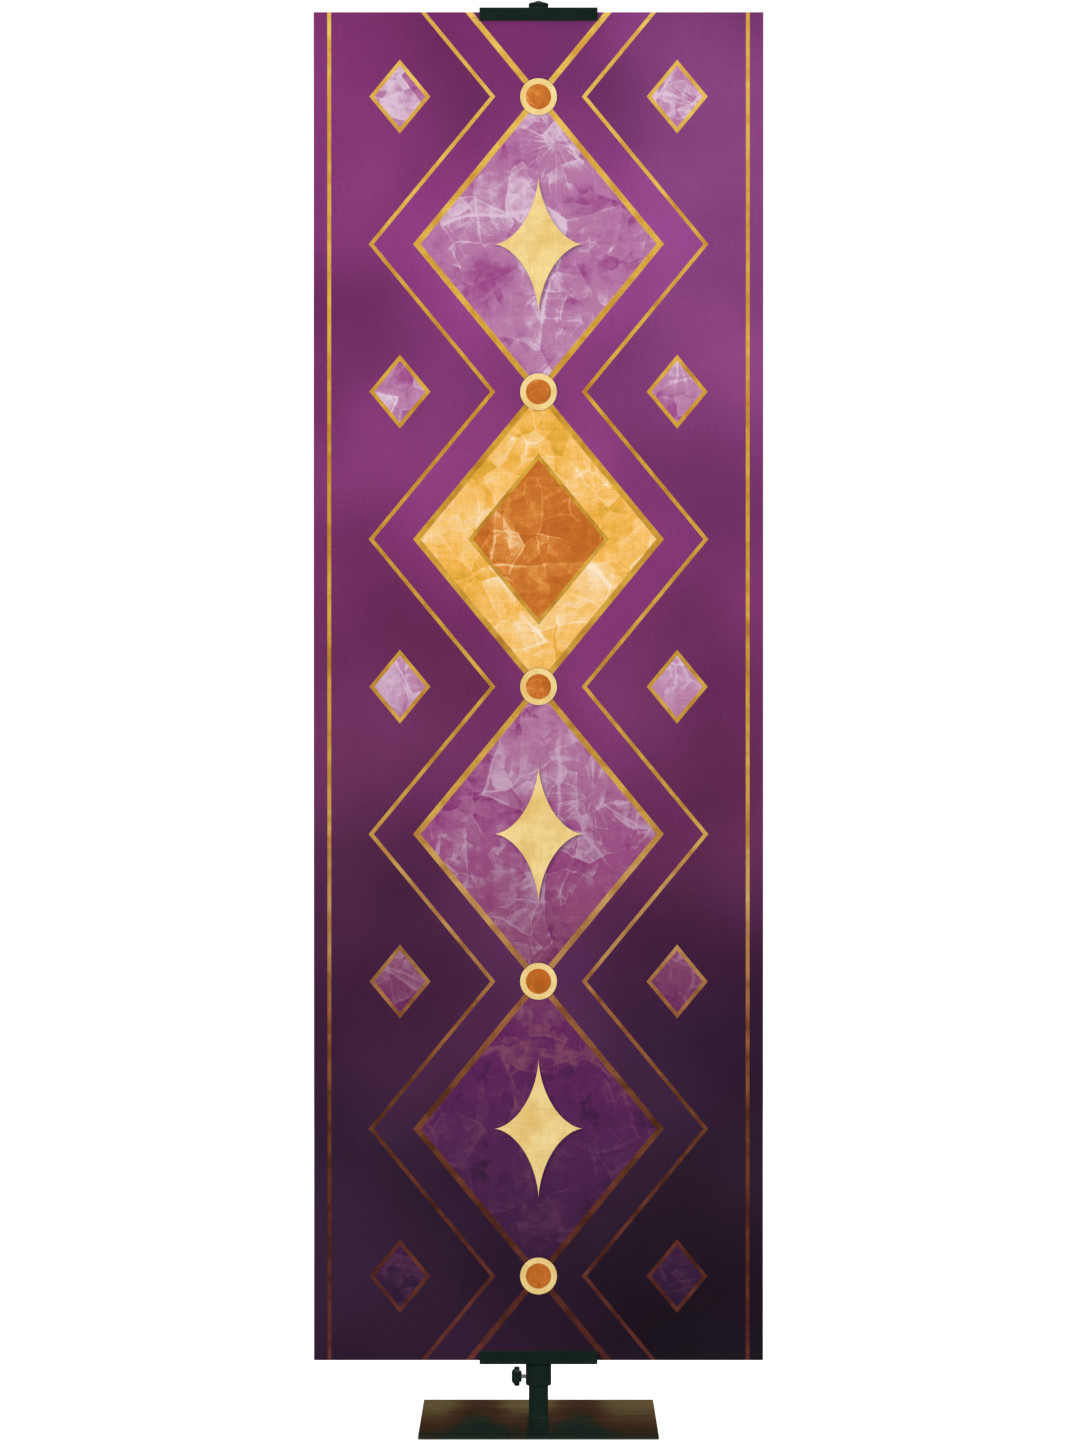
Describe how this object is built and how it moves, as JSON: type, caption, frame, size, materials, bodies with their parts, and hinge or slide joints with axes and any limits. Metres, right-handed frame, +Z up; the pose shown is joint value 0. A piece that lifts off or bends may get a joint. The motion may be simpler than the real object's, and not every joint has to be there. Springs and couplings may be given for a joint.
{
  "type": "banner stand",
  "caption": "Free-standing banner stand: square base plate, telescoping pole with star-knob locks, and hinged clamp bars that hold a tall purple cloth banner.",
  "frame": {"origin": "on the floor under the pole's axis, at the middle of the square base", "axes": "+Z up along the pole, +X to the right across the banner as seen from its front, -Y towards the viewer that the banner faces"},
  "size_m": [0.6096, 0.32, 1.9345],
  "materials": {
    "base_gloss": "gloss",
    "foot_rubber": "matte",
    "tube_paint": "satin",
    "knob_plastic": "satin",
    "bright_steel": "polished",
    "nylon": "satin",
    "moulded_black": "satin",
    "jaw_paint": "satin",
    "grip_rubber": "matte",
    "spring_steel": "satin",
    "fastener_steel": "satin",
    "slat_plastic": "satin",
    "banner_cloth": "matte"
  },
  "bodies": {
    "base": {"base_plate": "base_gloss", "foot_pads": "foot_rubber", "socket_weld": "tube_paint", "socket_tube": "tube_paint", "base_collar": "tube_paint"},
    "base_tip": {"base_lock_tip": "nylon"},
    "base_knob": {"base_lock_screw": "bright_steel", "base_lock_knob": "knob_plastic"},
    "pole_plug": {"pole_end_plug": "nylon"},
    "lower_pole": {"lower_tube": "tube_paint", "height_collar": "tube_paint", "bottom_slat": "slat_plastic", "lower_bracket": "moulded_black", "lower_bracket_screw": "fastener_steel", "lower_back_jaw": "jaw_paint", "lower_jaw_pin": "spring_steel", "lower_end_caps": "moulded_black", "lower_back_grip": "grip_rubber", "lower_detent_springs": "spring_steel", "lower_spring_rivets": "fastener_steel", "lower_jaw_screws": "fastener_steel"},
    "lower_jaw": {"lower_front_jaw": "jaw_paint", "lower_front_grip": "grip_rubber"},
    "height_tip": {"height_lock_tip": "nylon"},
    "height_knob": {"height_lock_screw": "bright_steel", "height_lock_knob": "knob_plastic"},
    "upper_pole": {"upper_tube": "tube_paint", "glide_bush": "nylon", "top_cap": "moulded_black", "top_slat": "slat_plastic", "banner": "banner_cloth", "upper_bracket": "moulded_black", "upper_bracket_screw": "fastener_steel", "upper_back_jaw": "jaw_paint", "upper_jaw_pin": "spring_steel", "upper_end_caps": "moulded_black", "upper_back_grip": "grip_rubber", "upper_detent_springs": "spring_steel", "upper_spring_rivets": "fastener_steel", "upper_jaw_screws": "fastener_steel"},
    "upper_jaw": {"upper_front_jaw": "jaw_paint", "upper_front_grip": "grip_rubber"}
  },
  "joints": [
    {"name": "base_knob_turn", "type": "hinge", "parent": "base_tip", "child": "base_knob", "pos_m": [-0.0132, 0, 0.0617], "axis": [-1, 0, 0], "range_deg": [0, 720]},
    {"name": "base_tip_travel", "type": "slide", "parent": "base", "child": "base_tip", "axis": [-1, 0, 0], "range_m": [0, 0.002]},
    {"name": "pole_lift", "type": "slide", "parent": "base", "child": "pole_plug", "axis": [0, 0, 1], "range_m": [0, 0.055]},
    {"name": "pole_turn", "type": "hinge", "parent": "pole_plug", "child": "lower_pole", "pos_m": [0, 0, 0.0085], "axis": [0, 0, 1], "continuous": true},
    {"name": "telescope", "type": "slide", "parent": "lower_pole", "child": "upper_pole", "axis": [0, 0, 1], "range_m": [-0.8, 0], "deforming": ["banner"]},
    {"name": "height_knob_turn", "type": "hinge", "parent": "height_tip", "child": "height_knob", "pos_m": [-0.0111, 0, 0.9834], "axis": [-1, 0, 0], "range_deg": [0, 720]},
    {"name": "height_tip_travel", "type": "slide", "parent": "lower_pole", "child": "height_tip", "axis": [-1, 0, 0], "range_m": [0, 0.002]},
    {"name": "upper_jaw_open", "type": "hinge", "parent": "upper_pole", "child": "upper_jaw", "pos_m": [0, -0.0226, 1.919], "axis": [-1, 0, 0], "range_deg": [0, 75]},
    {"name": "lower_jaw_open", "type": "hinge", "parent": "lower_pole", "child": "lower_jaw", "pos_m": [0, -0.0226, 0.0841], "axis": [1, 0, 0], "range_deg": [0, 75]}
  ],
  "couplings": [
    {"joint": "base_knob_turn", "follows": "base_tip_travel", "rad_per_m": 6283.2},
    {"joint": "height_knob_turn", "follows": "height_tip_travel", "rad_per_m": 6283.2}
  ]
}
